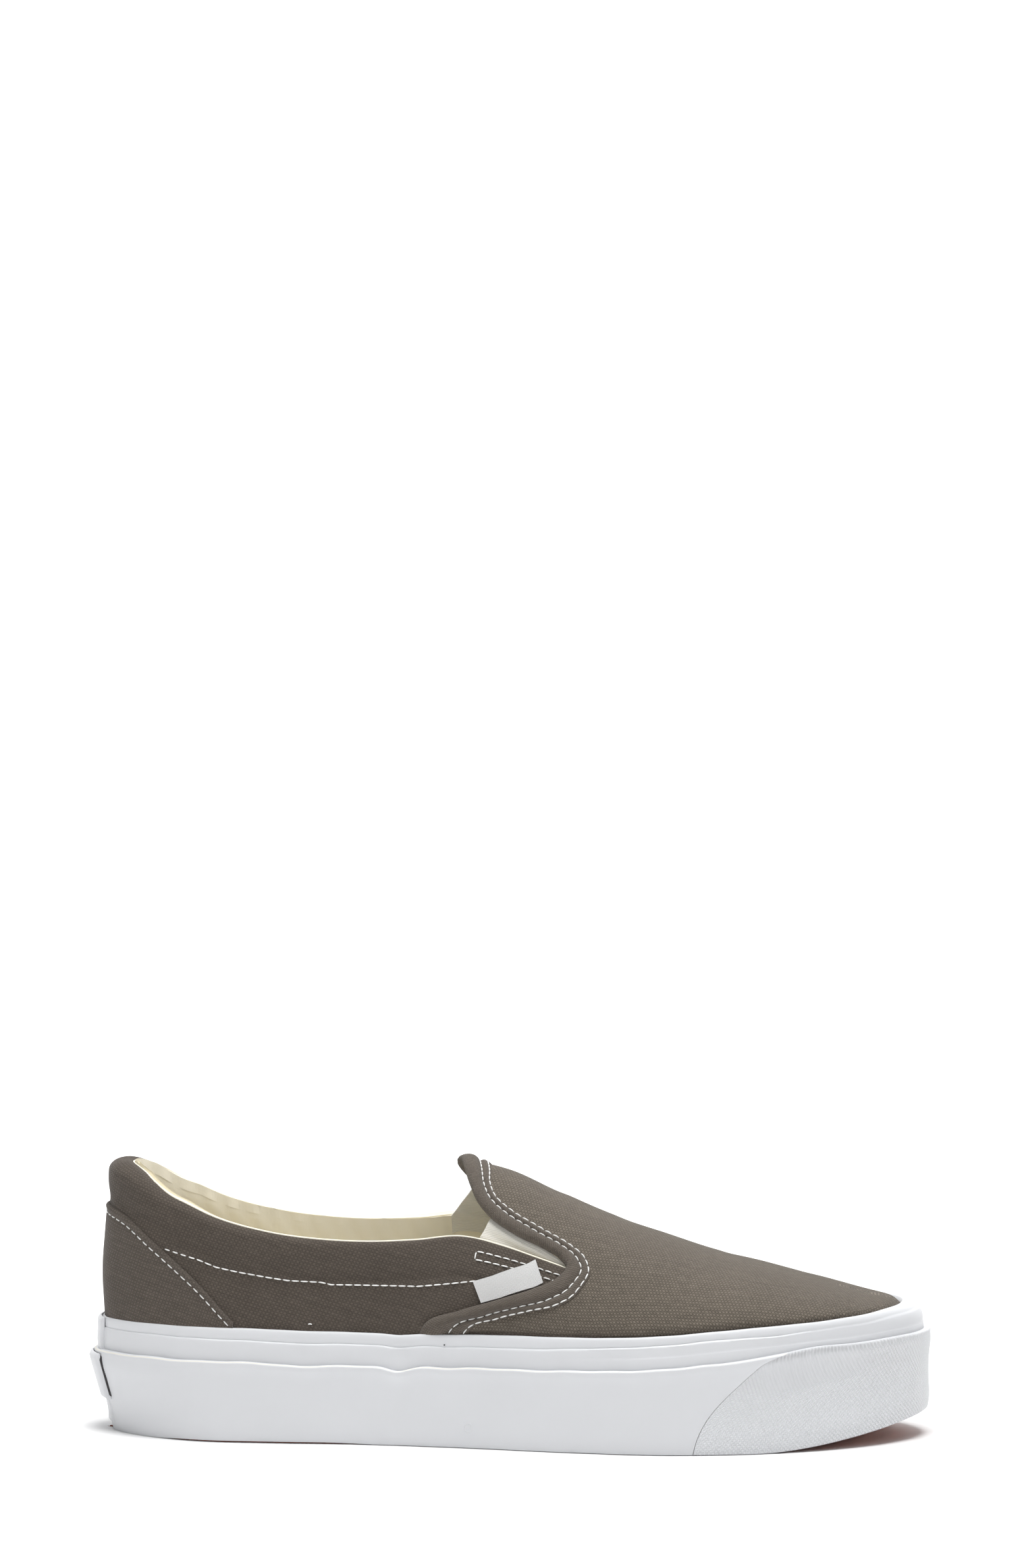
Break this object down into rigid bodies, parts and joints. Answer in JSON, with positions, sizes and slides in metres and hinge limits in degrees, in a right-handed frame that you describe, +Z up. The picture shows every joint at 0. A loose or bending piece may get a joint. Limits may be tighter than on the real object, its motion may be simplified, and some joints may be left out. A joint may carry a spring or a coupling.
{
  "type": "slip-on sneaker",
  "caption": "Canvas slip-on sneaker, right shoe, with padded collar, elastic side gores and white vulcanised rubber sole.",
  "frame": {"origin": "on the floor, under the middle of the shoe's length and width", "axes": "+X towards the toe, +Y towards the inner side of the foot, +Z up"},
  "size_m": [0.2941, 0.1045, 0.0966],
  "materials": {
    "canvas": "plain weave cotton canvas, matte",
    "white_rubber": "satin",
    "gum_rubber": "satin",
    "elastic": "ribbed elastic, matte",
    "lining": "smooth lining, matte"
  },
  "bodies": {
    "root": {"outsole": "gum_rubber", "foxing_strip": "white_rubber", "foxing_band": "white_rubber", "toe_bumper": "white_rubber", "heel_strip": "white_rubber", "heel_patch": "white_rubber", "upper": "canvas", "vamp_binding": "canvas", "heel_counter": "canvas", "gore_lateral": "elastic", "gore_medial": "elastic", "insole": "lining", "side_tab": "elastic"}
  },
  "joints": []
}
